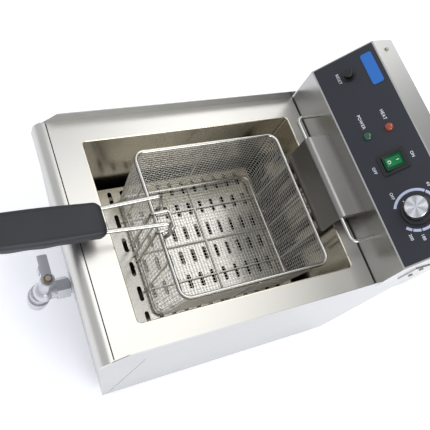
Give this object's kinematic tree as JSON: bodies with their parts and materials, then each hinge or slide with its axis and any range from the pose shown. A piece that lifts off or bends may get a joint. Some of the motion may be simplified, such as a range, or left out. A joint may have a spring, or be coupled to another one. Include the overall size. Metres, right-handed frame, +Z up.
{
  "type": "deep fryer",
  "caption": "Countertop electric deep fryer with a single oil tank, lift-out wire basket, lift-off control head with a sloping panel, and a drain tap in front.",
  "frame": {"origin": "on the surface the fryer stands on, at the middle of the whole object's outline, handle included", "axes": "+Z up; the front, with the drain tap and the basket handle, faces -Y; +X is the fryer's right seen from the front"},
  "size_m": [0.2962, 0.5776, 0.3986],
  "materials": {
    "stainless_case": "satin brushed stainless sheet",
    "stainless_tank": "drawn stainless, semi-bright",
    "stainless_guard": "perforated stainless plate",
    "bright_wire": "bright plated wire",
    "woven_mesh": "fine woven wire mesh",
    "plated_tap": "nickel-plated tap parts",
    "zinc_fasteners": "zinc-plated screws and nuts",
    "element_sheath": "stainless heating tube, slightly darkened",
    "black_grip": "black moulded heat-resistant plastic",
    "black_gloss": "black moulded plastic",
    "overlay_black": "printed black panel sheet",
    "spun_aluminium": "spun aluminium disc",
    "green_lens": "translucent green",
    "orange_lens": "translucent orange",
    "rubber_feet": "black rubber",
    "grey_plastic": "grey moulded plastic",
    "white_ceramic": "white steatite",
    "badge_metal": "plain anodised plate, no marks"
  },
  "bodies": {
    "fryer_body": {"body_shell": "stainless_case", "front_panel": "stainless_case", "deck_plate": "stainless_case", "oil_tank": "stainless_tank", "base_plate": "stainless_case", "feet": "rubber_feet", "foot_screws": "zinc_fasteners", "drain_pipe": "plated_tap", "drain_washer": "plated_tap", "valve_body": "plated_tap", "packing_nut": "plated_tap"},
    "tap_valve": {"valve_ball": "plated_tap", "valve_stem": "plated_tap", "tap_lever": "plated_tap", "lever_nut": "zinc_fasteners"},
    "control_head": {"control_housing": "stainless_case", "head_floor": "stainless_case", "back_cover": "stainless_case", "cover_screws": "zinc_fasteners", "top_screws": "zinc_fasteners", "side_plates": "stainless_case", "side_screws": "zinc_fasteners", "cord_gland": "black_gloss", "gland_nut": "black_gloss", "panel_overlay": "overlay_black", "badge_plate": "badge_metal", "hanger_wire": "bright_wire", "riser_cover": "stainless_case", "heating_element": "element_sheath", "element_flange": "stainless_case", "element_straps": "stainless_guard", "thermostat_bulb": "element_sheath", "limiter_bulb": "element_sheath", "thermostat_body": "white_ceramic", "reset_collar": "black_gloss", "limiter_body": "white_ceramic", "power_lamp": "green_lens", "heat_lamp": "orange_lens", "switch_body": "black_gloss", "contactor": "grey_plastic", "terminal_block": "white_ceramic"},
    "thermostat_knob": {"knob_body": "black_gloss", "knob_cap": "spun_aluminium", "thermostat_shaft": "zinc_fasteners"},
    "limiter_reset": {"reset_button": "black_gloss"},
    "switch_rocker": {"rocker": "green_lens"},
    "guard": {"element_guard": "stainless_guard"},
    "basket": {"basket_rim": "bright_wire", "basket_mesh": "woven_mesh", "basket_floor_frame": "bright_wire", "basket_stays": "bright_wire", "basket_hooks": "bright_wire", "handle_bracket": "bright_wire"},
    "basket_handle": {"handle_wires": "bright_wire", "handle_grip": "black_grip"}
  },
  "joints": [
    {"name": "head_lift", "type": "slide", "parent": "fryer_body", "child": "control_head", "axis": [0, 0, 1], "range_m": [0, 0.16]},
    {"name": "guard_lift", "type": "slide", "parent": "control_head", "child": "guard", "axis": [0, 0, 1], "range_m": [0, 0.15]},
    {"name": "basket_lift", "type": "slide", "parent": "guard", "child": "basket", "axis": [0, 0, 1], "range_m": [0, 0.13]},
    {"name": "handle_unhook", "type": "slide", "parent": "basket", "child": "basket_handle", "axis": [0, 0, 1], "range_m": [0, 0.05]},
    {"name": "knob_turn", "type": "hinge", "parent": "control_head", "child": "thermostat_knob", "pos_m": [0.0845, 0.19876, 0.37464], "axis": [0, 0.6866, -0.727], "range_deg": [0, 249]},
    {"name": "rocker_tilt", "type": "hinge", "parent": "control_head", "child": "switch_rocker", "pos_m": [0.0175, 0.20391, 0.36919], "axis": [1, 0, 0], "range_deg": [0, 20]},
    {"name": "reset_press", "type": "slide", "parent": "control_head", "child": "limiter_reset", "axis": [0, 0.6866, -0.727], "range_m": [0, 0.0024], "stiffness_N_per_m": 400, "springref_m": -0.001},
    {"name": "tap_turn", "type": "hinge", "parent": "fryer_body", "child": "tap_valve", "pos_m": [0, -0.194, 0.139], "axis": [0, 0, 1], "range_deg": [0, 90]}
  ]
}
